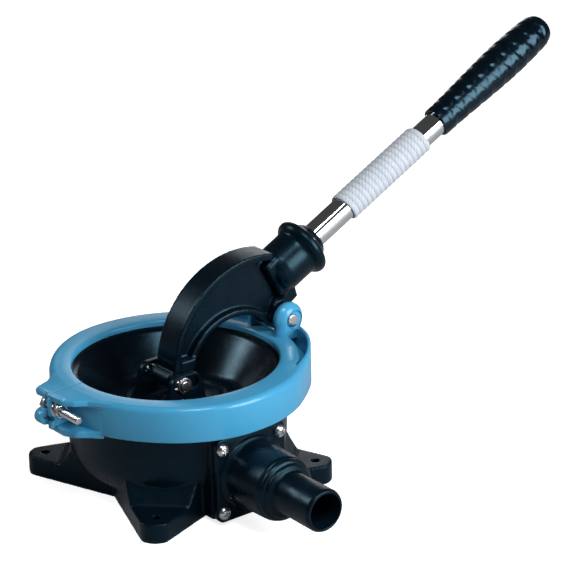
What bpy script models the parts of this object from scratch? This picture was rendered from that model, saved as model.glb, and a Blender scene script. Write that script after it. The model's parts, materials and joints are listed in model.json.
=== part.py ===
"""Manual diaphragm bilge pump with a plug-in handle.

The origin is the centre of the base's underside and +Z is up.  The lever swings in the XZ plane
with its handle towards +X, the outlet points towards -Y and the inlet towards +Y.  Sizes below
are in millimetres, and MM turns them into Blender's metres.
"""
import math

import bmesh
import bpy
from mathutils import Matrix, Vector

MM = 0.001
GAP = 0.3                       # clearance between pieces that touch

# Base and body
FOOT_REACH = 92.0               # base centre to foot tip
FOOT_TIP_HALF = 9.3
FOOT_TIP_ROUND = 8.0
NOTCH_RADIUS = 48.0             # base centre to the notch between two feet
PAD_TOP = 12.0
BUTTRESS_TOP = 24.5
BUTTRESS_RADIUS = 61.0
PAD_RADIUS = 69.3               # where the sloping buttress meets the flat pad
FOOT_HOLE_AT = 82.0
FOOT_HOLE_RADIUS = 2.8
BODY_RADIUS = 65.0
BODY_STEPS = 58
NECK_RADIUS = 67.4
BODY_FLANGE_RADIUS = 71.4
BODY_FLANGE_BOTTOM = 59.6
BODY_FLANGE_TOP = 67.6
CAVITY_RADIUS = 61.0
CAVITY_FLOOR = 8.0

# Clamp ring
RING_INNER = 61.5
RING_WALL = 71.8                # inside of the ring's wall, round the body's flange
RING_OUTER = 77.8
RING_SLIM = 3.4                 # how much the outside draws in towards the split
RING_TOP = 76.0
RING_BOTTOM = 54.6
RING_LIP = 59.0                 # top of the lip under the body's flange
RING_LIP_RADIUS = 68.2
RING_UNDERSIDE = 72.3
RING_ROUND = 3.2
BULGE = 4.2                     # how far the ring stands out and up beside the fulcrum
BULGE_RISE = 5.5
SPLIT_Y = 5.0
CLAMP_BOLT_AT = (-82.7, 66.8)   # X and Z of the bolt across the split

# Lever
PIVOT = (74.5, 85.5)            # X and Z of the fulcrum
LUG_INNER = 11.0
LUG_OUTER = 18.0
# Distance from the middle and radius of the rounded thumbs that hold the fulcrum pin
LUG_SHAPE = ((11.0, 10.3), (13.5, 10.3), (14.8, 9.7), (16.2, 8.7), (17.4, 7.0), (18.0, 5.6))
PIN_RADIUS = 3.0
CLEVIS = (-7.0, 66.0)           # X and Z of the clevis pin
OUTER_ARC = (54.0, 68.3, 61.0)  # X, Z and radius of the arm's back
INNER_ARC = (40.3, 60.1, 33.3)  # X, Z and radius of the arm's inside
ARM_HALF = 9.5
SOCKET_AT = (97.0, 123.0)       # X and Z of the socket's mouth
HANDLE_SLOPE = 27.5             # degrees above the horizontal

# Handle, measured along its own axis from the socket's mouth
TUBE_RADIUS = 7.8
TUBE_START = -24.0
WINDING_START = 34.2
WINDING_END = 107.0
WINDING_RADIUS = 9.6
GRIP_START = 122.0
GRIP_END = 225.5

# Diaphragm and its plates
PLATE_RADIUS = 34.5
PLATE_BOTTOM = 48.0
PLATE_TOP = 52.0
BACKING_RADIUS = 33.0

# Ports
PORT_HEIGHT = 27.8
PORT_FACE = 68.3                # body centre to the back of a port's flange
CHEST_FACE = 66.8
CHEST_HALF = 24.0
FLANGE_HALF = 24.6
FLANGE_HALF_HEIGHT = 26.0
FLANGE_THICK = 4.2
PORT_BORE = 17.3
SCREW_ACROSS = 20.4
SCREW_UP = 19.8
INLET_LENGTH = 27.0
FLAP_RADIUS = 13.5
FLAP_HINGE = 14.2               # port axis to the flap's hinge
FLAP_HINGE_RADIUS = 1.0
FLAP_DEPTH = {1: -0.3, -1: -7.3}  # middle of a flap that opens outwards or inwards


def clear_scene():
    for obj in list(bpy.data.objects):
        bpy.data.objects.remove(obj, do_unlink=True)


def make_collection(name):
    collection = bpy.data.collections.new(name)
    bpy.context.scene.collection.children.link(collection)
    return collection


def make_material(name, colour, roughness, metallic=0.0):
    material = bpy.data.materials.new(name)
    material.use_nodes = True
    shader = material.node_tree.nodes["Principled BSDF"]
    shader.inputs["Base Color"].default_value = (*colour, 1.0)
    shader.inputs["Roughness"].default_value = roughness
    shader.inputs["Metallic"].default_value = metallic
    return material


clear_scene()
PARTS = make_collection("manual_bilge_pump")
CUTTERS = make_collection("cutters")

FINISHES = {
    "black_plastic": ((0.010, 0.013, 0.018), 0.38, 0.0),
    "blue_plastic": ((0.09, 0.33, 0.58), 0.22, 0.0),
    "black_rubber": ((0.012, 0.014, 0.017), 0.45, 0.0),
    "grip_vinyl": ((0.006, 0.009, 0.014), 0.15, 0.0),
    "white_cord": ((0.82, 0.85, 0.88), 0.7, 0.0),
    "stainless": ((0.72, 0.73, 0.74), 0.25, 1.0),
    "polished_tube": ((0.86, 0.87, 0.88), 0.08, 1.0),
    "nylon_bush": ((0.75, 0.72, 0.62), 0.5, 0.0),
}


# ---------------------------------------------------------------------------------------------
# Shape helpers; lengths in millimetres
# ---------------------------------------------------------------------------------------------

def add_object(name, mesh, place=Matrix.Identity(4), tool=False):
    obj = bpy.data.objects.new(name, mesh)
    obj.matrix_world = place
    if tool:
        CUTTERS.objects.link(obj)
        obj.hide_render = True
        obj.display_type = "WIRE"
    else:
        PARTS.objects.link(obj)
    return obj


def smooth(mesh):
    mesh.shade_smooth()
    mesh.set_sharp_from_angle(angle=math.radians(35))


def from_bmesh(name, work, place, tool):
    mesh = bpy.data.meshes.new(name)
    work.to_mesh(mesh)
    work.free()
    smooth(mesh)
    return add_object(name, mesh, place, tool)


def box(name, low, high, place=Matrix.Identity(4), tool=False):
    low, high = Vector(low) * MM, Vector(high) * MM
    work = bmesh.new()
    size = Matrix.Diagonal((*(high - low), 1.0))
    bmesh.ops.create_cube(work, size=1.0, matrix=Matrix.Translation((low + high) / 2) @ size)
    return from_bmesh(name, work, place, tool)


def cylinder(name, start, end, radius, steps=32, place=Matrix.Identity(4), tool=False):
    """A straight cylinder between two points."""
    start, end = Vector(start) * MM, Vector(end) * MM
    along = end - start
    turn = Vector((0, 0, 1)).rotation_difference(along).to_matrix().to_4x4()
    work = bmesh.new()
    bmesh.ops.create_cone(work, cap_ends=True, segments=steps, radius1=radius * MM,
                          radius2=radius * MM, depth=along.length,
                          matrix=Matrix.Translation((start + end) / 2) @ turn)
    return from_bmesh(name, work, place, tool)


def turned(name, profile, steps, place=Matrix.Identity(4), tool=False):
    """A turned shape from (radius, height) points that run down the outer side.

    A profile that leaves the axis and comes back to it is a solid, and any other is a ring.
    """
    count = len(profile)
    links = [(i, i + 1) for i in range(count - 1)]
    if profile[0][0] > 0:
        links.append((count - 1, 0))
    mesh = bpy.data.meshes.new(name)
    mesh.from_pydata([(r * MM, 0.0, z * MM) for r, z in profile], links, [])
    obj = add_object(name, mesh, place, tool)
    screw = obj.modifiers.new("Turn", "SCREW")
    screw.steps = steps
    screw.render_steps = steps
    screw.use_merge_vertices = True
    screw.merge_threshold = 0.00001
    return obj


def slab(name, outlines, low, high, place=Matrix.Identity(4), tool=False):
    """Flat outlines, the first one solid and the others holes, raised from low to high."""
    curve = bpy.data.curves.new(name + "_outline", "CURVE")
    curve.dimensions = "2D"
    curve.fill_mode = "BOTH"
    curve.extrude = (high - low) / 2 * MM
    for outline in outlines:
        spline = curve.splines.new("POLY")
        spline.points.add(len(outline) - 1)
        for point, (x, y) in zip(spline.points, outline):
            point.co = (x * MM, y * MM, 0.0, 1.0)
        spline.use_cyclic_u = True
    guide = bpy.data.objects.new(name + "_outline", curve)
    CUTTERS.objects.link(guide)
    bpy.context.view_layer.update()
    depsgraph = bpy.context.evaluated_depsgraph_get()
    mesh = bpy.data.meshes.new_from_object(guide.evaluated_get(depsgraph))
    bpy.data.objects.remove(guide)
    work = bmesh.new()
    work.from_mesh(mesh)
    bpy.data.meshes.remove(mesh)
    bmesh.ops.remove_doubles(work, verts=work.verts, dist=0.00001)
    bmesh.ops.translate(work, verts=work.verts, vec=(0, 0, (low + high) / 2 * MM))
    bmesh.ops.recalc_face_normals(work, faces=work.faces)
    return from_bmesh(name, work, place, tool)


def upright(name, outlines, y_low, y_high, place=Matrix.Identity(4), tool=False):
    """Outlines in X and Z, standing in the lever's plane and thick along Y."""
    stand = Matrix.Rotation(math.radians(90), 4, "X")
    return slab(name, outlines, -y_high, -y_low, place @ stand, tool)


def loft(name, sections, tool=False):
    """A skin over a row of outlines with equal numbers of points, closed at both ends."""
    work = bmesh.new()
    rings = [[work.verts.new(Vector(point) * MM) for point in section] for section in sections]
    for one, two in zip(rings, rings[1:]):
        for i in range(len(one)):
            k = (i + 1) % len(one)
            work.faces.new((one[i], one[k], two[k], two[i]))
    work.faces.new(reversed(rings[0]))
    work.faces.new(rings[-1])
    bmesh.ops.recalc_face_normals(work, faces=work.faces)
    return from_bmesh(name, work, Matrix.Identity(4), tool)


def join(obj, tool):
    """Adds a tool's shape to an object."""
    modifier = obj.modifiers.new("Join", "BOOLEAN")
    modifier.operation = "UNION"
    modifier.solver = "EXACT"
    modifier.object = tool


def cut(obj, tool):
    """Takes a tool's shape out of an object."""
    modifier = obj.modifiers.new("Cut", "BOOLEAN")
    modifier.operation = "DIFFERENCE"
    modifier.solver = "EXACT"
    modifier.object = tool


def finish(obj, kind):
    obj.data.materials.append(MATERIALS[kind])
    return obj


def make_empty(name, place):
    empty = bpy.data.objects.new(name, None)
    empty.empty_display_size = 0.01
    empty.matrix_world = place
    PARTS.objects.link(empty)
    return empty


def hang(child, empty):
    """Parents a piece to its joint's empty without moving it."""
    child.parent = empty
    child.matrix_parent_inverse = empty.matrix_world.inverted()


def arc(centre_x, centre_y, radius, start, end, steps):
    """Points of an arc from start to end, in degrees."""
    points = []
    for i in range(steps + 1):
        angle = math.radians(start + (end - start) * i / steps)
        points.append((centre_x + radius * math.cos(angle), centre_y + radius * math.sin(angle)))
    return points


def circle(centre_x, centre_y, radius, steps=24):
    return arc(centre_x, centre_y, radius, 0, 360 - 360 / steps, steps - 1)


def rounded_rectangle(half_width, half_height, corner, steps=3):
    points = []
    for i, (x, y) in enumerate(((1, 1), (-1, 1), (-1, -1), (1, -1))):
        at_x, at_y = x * (half_width - corner), y * (half_height - corner)
        points += arc(at_x, at_y, corner, 90 * i, 90 * i + 90, steps)
    return points


def smoothstep(value):
    value = min(max(value, 0.0), 1.0)
    return value * value * (3 - 2 * value)


MATERIALS = {name: make_material(name, *values) for name, values in FINISHES.items()}


# ---------------------------------------------------------------------------------------------
# Body
# ---------------------------------------------------------------------------------------------

def star_outline():
    """The base: four rounded feet on the diagonals with straight sides to the notches."""
    points = []
    inset = FOOT_TIP_HALF - FOOT_TIP_ROUND
    for foot in range(4):
        turn = math.radians(45 + 90 * foot)
        local = arc(FOOT_REACH - FOOT_TIP_ROUND, -inset, FOOT_TIP_ROUND, -65, 0, 5)
        local += arc(FOOT_REACH - FOOT_TIP_ROUND, inset, FOOT_TIP_ROUND, 0, 65, 5)
        notch = NOTCH_RADIUS * math.cos(math.radians(45))
        local.append((notch, notch))
        for along, across in local:
            points.append((along * math.cos(turn) - across * math.sin(turn),
                           along * math.sin(turn) + across * math.cos(turn)))
    return points


def port_place(side):
    """The frame of a port: X across, Y up, Z outwards from the back of its flange."""
    face_out = Matrix.Rotation(math.radians(90), 4, "X")
    half_turn = Matrix.Rotation(math.radians(0 if side < 0 else 180), 4, "Z")
    centre = Matrix.Translation((0, side * PORT_FACE * MM, PORT_HEIGHT * MM))
    return centre @ half_turn @ face_out


def pump_body():
    wall = [(BODY_RADIUS - 29 + 29 * math.cos(math.radians(a)),
             30 - 24 * math.sin(math.radians(a))) for a in range(0, 91, 18)]
    outside = [(0, BODY_FLANGE_TOP), (BODY_FLANGE_RADIUS, BODY_FLANGE_TOP),
               (BODY_FLANGE_RADIUS, BODY_FLANGE_BOTTOM), (NECK_RADIUS, BODY_FLANGE_BOTTOM),
               (NECK_RADIUS, 55), (BODY_RADIUS + 0.8, 53)] + wall + [(36, 1), (0, 1)]
    body = turned("pump_body", outside, BODY_STEPS)

    star = slab("base_star", [star_outline()], 0, BUTTRESS_TOP, tool=True)
    for foot in range(4):
        turn = Matrix.Rotation(math.radians(45 + 90 * foot), 4, "Z")
        slope = [(BUTTRESS_RADIUS, BUTTRESS_TOP), (PAD_RADIUS, PAD_TOP), (110, PAD_TOP),
                 (110, 40), (BUTTRESS_RADIUS, 40)]
        cut(star, upright("foot_slope", [slope], -40, 40, turn, tool=True))
        at = FOOT_HOLE_AT
        cut(star, cylinder("foot_hole", (at, 0, -2), (at, 0, 20), FOOT_HOLE_RADIUS, 16,
                           turn, tool=True))
    join(body, star)

    join(body, box("valve_chests", (-CHEST_HALF, -CHEST_FACE, 2), (CHEST_HALF, CHEST_FACE, 54),
                   tool=True))
    inside = [(CAVITY_RADIUS - 25 + 25 * math.cos(math.radians(a)),
               30 - 22 * math.sin(math.radians(a))) for a in range(0, 91, 18)]
    cavity = [(0, BODY_FLANGE_TOP + 2), (CAVITY_RADIUS, BODY_FLANGE_TOP + 2)] + inside
    cut(body, turned("cavity", cavity + [(0, CAVITY_FLOOR)], BODY_STEPS, tool=True))
    for side in (-1, 1):
        place = port_place(side)
        cut(body, cylinder("chest_bore", (0, 0, -26), (0, 0, 4), PORT_BORE, 28, place, tool=True))
        for across in (-SCREW_ACROSS, SCREW_ACROSS):
            for up in (-SCREW_UP, SCREW_UP):
                cut(body, cylinder("screw_hole", (across, up, -12), (across, up, 4), 2.3, 8,
                                   place, tool=True))
    return finish(body, "black_plastic")


# ---------------------------------------------------------------------------------------------
# Clamp ring
# ---------------------------------------------------------------------------------------------

def fence_sections():
    """The ring's raised and thickened edge beside the fulcrum, as sections round the ring."""
    sections = []
    bottom = RING_BOTTOM + 0.6
    for degrees in range(-52, 53, 8):
        angle = math.radians(degrees)
        share = smoothstep((52 - abs(degrees)) / 32)
        inner = 73.7 + 1.7 * share
        outer = RING_OUTER - 0.4 + BULGE * share
        top = RING_TOP - 1.2 + (BULGE_RISE + 1.2) * share
        outline = [(inner, top), (outer - 2.4, top), (outer - 0.7, top - 0.7),
                   (outer, top - 2.4), (outer, bottom), (inner, bottom)]
        sections.append([(r * math.cos(angle), r * math.sin(angle), z) for r, z in outline])
    return sections


def ring_outline():
    """The ring's outside seen from above, a little slimmer round the split."""
    points = []
    for degrees in range(0, 360, 5):
        angle = math.radians(degrees)
        off_split = abs(degrees - 180)
        radius = RING_OUTER + 0.1 - (RING_SLIM + 0.1) * smoothstep((85 - off_split) / 50)
        points.append((radius * math.cos(angle), radius * math.sin(angle)))
    return points


def thumb_section(side, across, radius):
    x, z = PIVOT
    outline = arc(x, z, radius, -20, 200, 10) + [(x - radius, 74), (x + radius * 0.6, 74)]
    return [(px, side * across, pz) for px, pz in outline]


def clamp_ring():
    edge = arc(RING_OUTER - RING_ROUND, RING_TOP - RING_ROUND, RING_ROUND, 90, 0, 2)
    section = [(RING_INNER + 1.0, RING_TOP)] + edge
    section += [(RING_OUTER, RING_BOTTOM + 1), (RING_OUTER - 1, RING_BOTTOM),
                (RING_LIP_RADIUS, RING_BOTTOM), (RING_LIP_RADIUS, RING_LIP),
                (RING_WALL, RING_LIP + 0.3), (RING_WALL, RING_UNDERSIDE),
                (RING_INNER, RING_UNDERSIDE), (RING_INNER, RING_TOP - 1.0)]
    ring = turned("clamp_ring", section, 64)
    cut(ring, slab("ring_trim", [circle(0, 0, 90, 48), ring_outline()], 50, 80, tool=True))
    join(ring, loft("fence", fence_sections(), tool=True))

    x, z = PIVOT
    for side in (-1, 1):
        sections = [thumb_section(side, across, radius) for across, radius in LUG_SHAPE]
        join(ring, loft("fulcrum_lug", sections, tool=True))
        low, high = sorted((side * (LUG_OUTER - 1.6), side * (LUG_OUTER + 3)))
        cut(ring, cylinder("pin_seat", (x + 1.6, low, z), (x + 1.6, high, z), 6.0, 24, tool=True))
    cut(ring, cylinder("pin_bore", (x, -30, z), (x, 30, z), PIN_RADIUS + GAP, 24, tool=True))
    cut(ring, box("lever_gap", (62.5, -LUG_INNER, RING_TOP), (95, LUG_INNER, 90), tool=True))

    tab = [(-67, 29), (-71, 25), (-75.5, 21.5), (-80, 19), (-84.8, 17.6), (-86.8, 16), (-87.5, 13),
           (-87.5, 0), (-87.2, -14.5), (-86, -16.8), (-80.7, -17.8), (-76, -20.6), (-72, -25),
           (-67, -31)]
    join(ring, slab("top_tab", [tab], 72.4, RING_TOP, tool=True))
    shelf = [(-69, 24), (-75, 19), (-84, 14), (-85, 0), (-83, -12), (-75, -22), (-66, -31)]
    join(ring, slab("low_tab", [shelf], RING_BOTTOM - 1.8, RING_BOTTOM + 1.4, tool=True))
    for low, high in ((0.8, SPLIT_Y - 0.6), (SPLIT_Y + 0.6, SPLIT_Y + 4.2)):
        join(ring, box("clamp_ear", (-86.6, low, 54.0), (-73.0, high, 74), tool=True))
    eye = circle(-88.0, 58.6, 4.8, 20)
    join(ring, upright("clamp_eye", [eye], SPLIT_Y + 0.6, 13.0, tool=True))
    cut(ring, box("split", (-100, SPLIT_Y - 0.5, 50), (-58, SPLIT_Y + 0.5, 80), tool=True))
    bolt_x, bolt_z = CLAMP_BOLT_AT
    cut(ring, cylinder("clamp_bore", (bolt_x, -6, bolt_z), (bolt_x, 20, bolt_z), 2.8, 20, tool=True))
    cut(ring, cylinder("eye_bore", (-88.6, -1, 58.4), (-88.6, 20, 58.4), 1.9, 16, tool=True))
    inside = [(0, RING_UNDERSIDE), (RING_WALL, RING_UNDERSIDE), (RING_WALL, RING_LIP + 0.3),
              (RING_LIP_RADIUS, RING_LIP), (RING_LIP_RADIUS, RING_BOTTOM - 4),
              (0, RING_BOTTOM - 4)]
    cut(ring, turned("ring_inside", inside, 64, tool=True))
    return finish(ring, "blue_plastic")


def clamp_fasteners():
    x, z = CLAMP_BOLT_AT
    bolt = cylinder("clamp_bolt", (x, -22, z), (x, 10.5, z), 2.5, 20)
    join(bolt, cylinder("bolt_head", (x, SPLIT_Y + 4.5, z), (x, SPLIT_Y + 8.2, z), 4.4, 6, tool=True))
    finish(bolt, "stainless")
    washer = upright("clamp_washer", [circle(x, z, 4.7), circle(x, z, 2.8, 16)], -0.5, 0.5)
    finish(washer, "stainless")
    nut = upright("clamp_nut", [circle(x, z, 4.5, 6), circle(x, z, 2.8, 16)], -4.8, -0.8)
    finish(nut, "stainless")


# ---------------------------------------------------------------------------------------------
# Diaphragm, its plates and the clevis
# ---------------------------------------------------------------------------------------------

def diaphragm():
    top = [(4.3, 47.7), (35.5, 47.7), (38.6, 48.2), (41.2, 50.0), (43.4, 52.6), (56.0, 67.6),
           (58.4, 70.4), (61.2, 72.0), (71.1, 72.0)]
    bottom = [(71.1, 67.9), (60.6, 67.9), (59.4, 67.2), (57.4, 65.3), (45.2, 50.4), (43.0, 48.0),
              (39.9, 46.0), (36.2, 45.5), (4.3, 45.5)]
    return finish(turned("diaphragm", top + bottom, 48), "black_rubber")


def diaphragm_plates():
    rim = PLATE_RADIUS
    section = [(GAP + PIN_RADIUS, PLATE_TOP - 1.5), (26, PLATE_TOP - 1.5), (28, PLATE_TOP),
               (rim - 1.2, PLATE_TOP), (rim, PLATE_TOP - 1.2), (rim, PLATE_BOTTOM),
               (GAP + PIN_RADIUS, PLATE_BOTTOM)]
    plate = turned("diaphragm_top_plate", section, 40)
    x, z = CLEVIS
    slot_left, slot_right = x - 2.6, x + 7.4
    low, high = z - PIN_RADIUS - 0.6, z + PIN_RADIUS + 0.9
    lug = arc(slot_left, z, 5.8, 165, 90, 5) + arc(slot_right, z, 5.8, 90, 12, 5)
    lug += [(slot_right + 9.5, PLATE_TOP - 3), (slot_left - 10.5, PLATE_TOP - 3)]
    middle = (low + high) / 2
    half = (high - low) / 2
    slot = arc(slot_left, middle, half, 90, 270, 8) + arc(slot_right, middle, half, 270, 450, 8)
    for side in (-1, 1):
        near, far = sorted((side * 13.8, side * 17.4))
        join(plate, upright("clevis_lug", [lug, slot], near, far, tool=True))
    finish(plate, "black_plastic")

    section = [(3.3, 45.2), (BACKING_RADIUS - 2, 45.2), (BACKING_RADIUS, 43.6),
               (BACKING_RADIUS - 1, 41.2), (3.3, 41.2)]
    backing = finish(turned("diaphragm_backing_plate", section, 32), "black_plastic")

    bolt = cylinder("diaphragm_bolt", (0, 0, 38), (0, 0, 56.6), PIN_RADIUS, 20)
    join(bolt, cylinder("hex_head", (0, 0, 37), (0, 0, 40.9), 6.0, 6, tool=True))
    finish(bolt, "stainless")
    nut = slab("diaphragm_nut", [circle(0, 0, 5.8, 6), circle(0, 0, 3.3, 16)], 50.8, 55.2)
    finish(nut, "stainless")
    return plate, backing, bolt, nut


def clevis_pin():
    x, z = CLEVIS
    pin = finish(cylinder("clevis_pin", (x, -20.2, z), (x, 20.2, z), PIN_RADIUS, 24), "stainless")
    clips = []
    for name, side in (("clevis_clip_outlet_side", -1), ("clevis_clip_inlet_side", 1)):
        near, far = sorted((side * 17.8, side * 19.0))
        rings = [circle(x, z, 4.9, 20), circle(x, z, PIN_RADIUS + GAP, 16)]
        clips.append(finish(upright(name, rings, near, far), "stainless"))
    return [pin] + clips


# ---------------------------------------------------------------------------------------------
# Lever and handle
# ---------------------------------------------------------------------------------------------

def handle_place():
    """The handle's frame: Z runs up the handle from the socket's mouth."""
    x, z = SOCKET_AT
    lean = Matrix.Rotation(math.radians(90 - HANDLE_SLOPE), 4, "Y")
    return Matrix.Translation((x * MM, 0, z * MM)) @ lean


def band(centre, inner, outer, start, end, steps):
    """An arc-shaped strip between two radii."""
    x, z = centre
    return arc(x, z, outer, start, end, steps) + arc(x, z, inner, end, start, steps)


def pump_lever():
    outer_x, outer_z, outer_r = OUTER_ARC
    inner_x, inner_z, inner_r = INNER_ARC
    x, z = PIVOT
    web = arc(outer_x, outer_z, outer_r - 2, 182, 68, 14)
    web += [(84, 108), (78, 92), (68, 88)] + arc(inner_x, inner_z, inner_r + 1, 42, 166, 12)
    lever = upright("pump_lever", [web], -2.6, 2.6)

    back = band((outer_x, outer_z), outer_r - 4.2, outer_r, 184, 69, 14)
    join(lever, upright("arm_back", [back], -ARM_HALF, ARM_HALF, tool=True))
    rim = band((inner_x, inner_z), inner_r, inner_r + 4.0, 168, 42, 12)
    join(lever, upright("arm_rim", [rim], -7.2, 7.2, tool=True))

    clevis_x, clevis_z = CLEVIS
    shank = [(7.4, 76), (-6.6, 76), (-12.5, 69)] + arc(clevis_x, clevis_z, 6.8, 170, 300, 8)
    shank += [(2.5, 65)]
    join(lever, upright("arm_end", [shank], -ARM_HALF, ARM_HALF, tool=True))
    join(lever, cylinder("hub", (x, -10.4, z), (x, 10.4, z), 8.4, 32, tool=True))
    leg = [(66.5, 84), (68.5, 92), (72.5, 98), (71, 108), (66, 118), (80, 124), (96, 114),
           (86.8, 100.9), (88.5, 94.4), (83.0, 90.9), (82.5, 84)]
    join(lever, upright("fulcrum_leg", [leg], -5.5, 5.5, tool=True))
    flare = [(61.5, 119.5), (63.2, 116.2), (67.1, 108.9), (70.4, 102.7), (72, 97.7), (78.2, 95.8),
             (79.6, 101), (83.9, 102.7), (90, 108), (84, 122), (70, 126)]
    join(lever, upright("socket_flare", [flare], -9.2, 9.2, tool=True))

    outside = [(0, 8.6), (9.6, 8.6), (10.9, 7.4), (12.6, 5.0), (14.2, 3.6), (17.0, 2.4),
               (18.2, 1.2), (18.7, -0.6), (18.5, -2.2), (17.2, -4.0), (15.4, -5.4), (15.1, -8),
               (15.1, -21), (14.0, -25.5), (11.5, -29), (7.5, -31), (0, -31.5)]
    join(lever, turned("socket", outside, 32, handle_place(), tool=True))
    cut(lever, cylinder("socket_bore", (0, 0, TUBE_START - 0.5), (0, 0, 12), TUBE_RADIUS + GAP,
                        28, handle_place(), tool=True))
    cut(lever, cylinder("hub_bore", (x, -20, z), (x, 20, z), 5.3, 24, tool=True))
    cut(lever, cylinder("clevis_bore", (clevis_x, -20, clevis_z), (clevis_x, 20, clevis_z),
                        PIN_RADIUS + GAP, 24, tool=True))
    return finish(lever, "black_plastic")


def fulcrum_pin():
    x, z = PIVOT
    pin = cylinder("fulcrum_pin", (x, -17, z), (x, 18.6, z), PIN_RADIUS, 24)
    join(pin, cylinder("pin_head", (x, -18.6, z), (x, -16.8, z), 4.0, 24, tool=True))
    finish(pin, "stainless")
    rings = [circle(x, z, 4.1, 20), circle(x, z, PIN_RADIUS + GAP, 16)]
    finish(upright("fulcrum_clip", rings, 16.7, 17.9), "stainless")


def fulcrum_bush():
    x, z = PIVOT
    rings = [circle(x, z, 5.0, 24), circle(x, z, PIN_RADIUS + GAP, 24)]
    return finish(upright("fulcrum_bush", rings, -10.6, 10.6), "nylon_bush")


def handle():
    place = handle_place()
    bore = TUBE_RADIUS - 1.3
    tube = [(TUBE_RADIUS, GRIP_END - 8), (TUBE_RADIUS, TUBE_START), (bore, TUBE_START),
            (bore, GRIP_END - 8)]
    tube = finish(turned("handle_tube", tube, 28, place), "polished_tube")

    inside = TUBE_RADIUS + GAP
    winding = [(inside, WINDING_END), (WINDING_RADIUS - 0.8, WINDING_END),
               (WINDING_RADIUS, WINDING_END - 0.8), (WINDING_RADIUS, WINDING_START + 0.8),
               (WINDING_RADIUS - 0.8, WINDING_START), (inside, WINDING_START)]
    winding = finish(turned("lanyard_winding", winding, 28, place), "white_cord")

    length = GRIP_END - GRIP_START
    shape = [(0, 1.0), (4.5, 0.993), (8.0, 0.972), (10.2, 0.94), (11.2, 0.90), (11.9, 0.80),
             (12.3, 0.66), (12.1, 0.52), (11.2, 0.32), (10.2, 0.14), (9.7, 0.0)]
    outside = [(radius, GRIP_START + share * length) for radius, share in shape]
    socket = [(inside, GRIP_START), (inside, GRIP_END - 7.5), (0, GRIP_END - 7.5)]
    grip = finish(turned("handle_grip", outside + socket, 28, place), "grip_vinyl")
    return tube, winding, grip


# ---------------------------------------------------------------------------------------------
# Ports and valves
# ---------------------------------------------------------------------------------------------

def port(name, place, outside, bore):
    """A flange with a turned spout; the bore's profile runs from its mouth to the flange."""
    outline = rounded_rectangle(FLANGE_HALF, FLANGE_HALF_HEIGHT, 4.5)
    flange = slab(name, [outline], 0, FLANGE_THICK, place)
    join(flange, turned(name + "_spout", outside, 36, place, tool=True))
    cut(flange, turned(name + "_bore", bore, 36, place, tool=True))
    for across in (-SCREW_ACROSS, SCREW_ACROSS):
        for up in (-SCREW_UP, SCREW_UP):
            cut(flange, cylinder("flange_hole", (across, up, -3), (across, up, 9), 2.3, 8,
                                 place, tool=True))
    return finish(flange, "black_plastic")


def outlet_port(place):
    outside = [(0, 71.7), (12.0, 71.7), (12.8, 70.9), (12.7, 60), (12.5, 41.0), (13.4, 39.9),
               (15.6, 39.5), (16.2, 38.9), (16.3, 37.4), (17.6, 37.0), (18.6, 35.8), (19.3, 33.4),
               (19.6, 30), (20.2, 8.6), (20.9, 6.6), (22.4, 5.6), (22.9, 3), (22.9, 0.5), (0, 0.5)]
    bore = [(0, 73), (10.1, 73), (10.1, 42), (PORT_BORE - 0.6, 33), (PORT_BORE, 30),
            (PORT_BORE, -1), (0, -1)]
    return port("outlet_port", place, outside, bore)


def inlet_port(place):
    outside = [(0, INLET_LENGTH), (18.4, INLET_LENGTH), (19.2, INLET_LENGTH - 1), (19.3, 16),
               (19.8, 8.6), (20.9, 6.6), (22.4, 5.6), (22.9, 3), (22.9, 0.5), (0, 0.5)]
    bore = [(0, INLET_LENGTH + 1), (16.2, INLET_LENGTH + 1), (16.2, 12), (PORT_BORE, 10),
            (PORT_BORE, -1), (0, -1)]
    return port("inlet_port", place, outside, bore)


def gasket(name, place):
    holes = [circle(0, 0, PORT_BORE, 28)]
    for across in (-SCREW_ACROSS, SCREW_ACROSS):
        for up in (-SCREW_UP, SCREW_UP):
            holes.append(circle(across, up, 2.4, 8))
    outline = rounded_rectangle(FLANGE_HALF - 0.6, FLANGE_HALF_HEIGHT - 0.6, 4.0)
    return finish(slab(name, [outline] + holes, -1.2, -GAP, place), "black_rubber")


def valve_seat(name, place, flap_side):
    """A ring in the chest's bore, with two ears that hold the flap on its outer or inner face."""
    front, back = -1.6, -6.0
    section = [(17.0, front), (17.0, back), (11.0, back), (11.0, front)]
    seat = turned(name, section, 28, place)
    low, high = (front - 1, front + 3) if flap_side > 0 else (back - 3, back + 1)
    for left in (-7.0, 5.2):
        join(seat, box("seat_ear", (left, 13.0, low), (left + 1.8, 15.2, high), place, tool=True))
    return finish(seat, "black_plastic")


def flap_valve(name, place, flap_side):
    middle = FLAP_DEPTH[flap_side]
    low, high = middle - 1.0, middle + 1.0
    flap = cylinder(name, (0, 0, low), (0, 0, high), FLAP_RADIUS, 24, place)
    join(flap, box("flap_tab", (-4.5, 10, low), (4.5, FLAP_HINGE, high), place, tool=True))
    join(flap, cylinder("flap_hinge", (-4.8, FLAP_HINGE, middle), (4.8, FLAP_HINGE, middle),
                        FLAP_HINGE_RADIUS, 12, place, tool=True))
    return finish(flap, "black_rubber")


def port_screws(side_name, place):
    """Four pan-head screws, named by their corner as seen from outside."""
    corners = (("low_left", -1, -1), ("low_right", 1, -1), ("top_left", -1, 1), ("top_right", 1, 1))
    for corner, across, up in corners:
        base = FLANGE_THICK + GAP
        head = [(0, base + 2.6), (2.6, base + 2.2), (4.0, base + 0.4), (4.0, base), (2.0, base),
                (2.0, -8), (0, -8)]
        shift = Matrix.Translation((across * SCREW_ACROSS * MM, up * SCREW_UP * MM, 0))
        screw = turned(side_name + "_screw_" + corner, head, 12, place @ shift)
        finish(screw, "stainless")


def hinge_empty(name, place, depth):
    at = place @ Matrix.Translation((0, FLAP_HINGE * MM, depth * MM))
    return make_empty(name, at)


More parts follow.
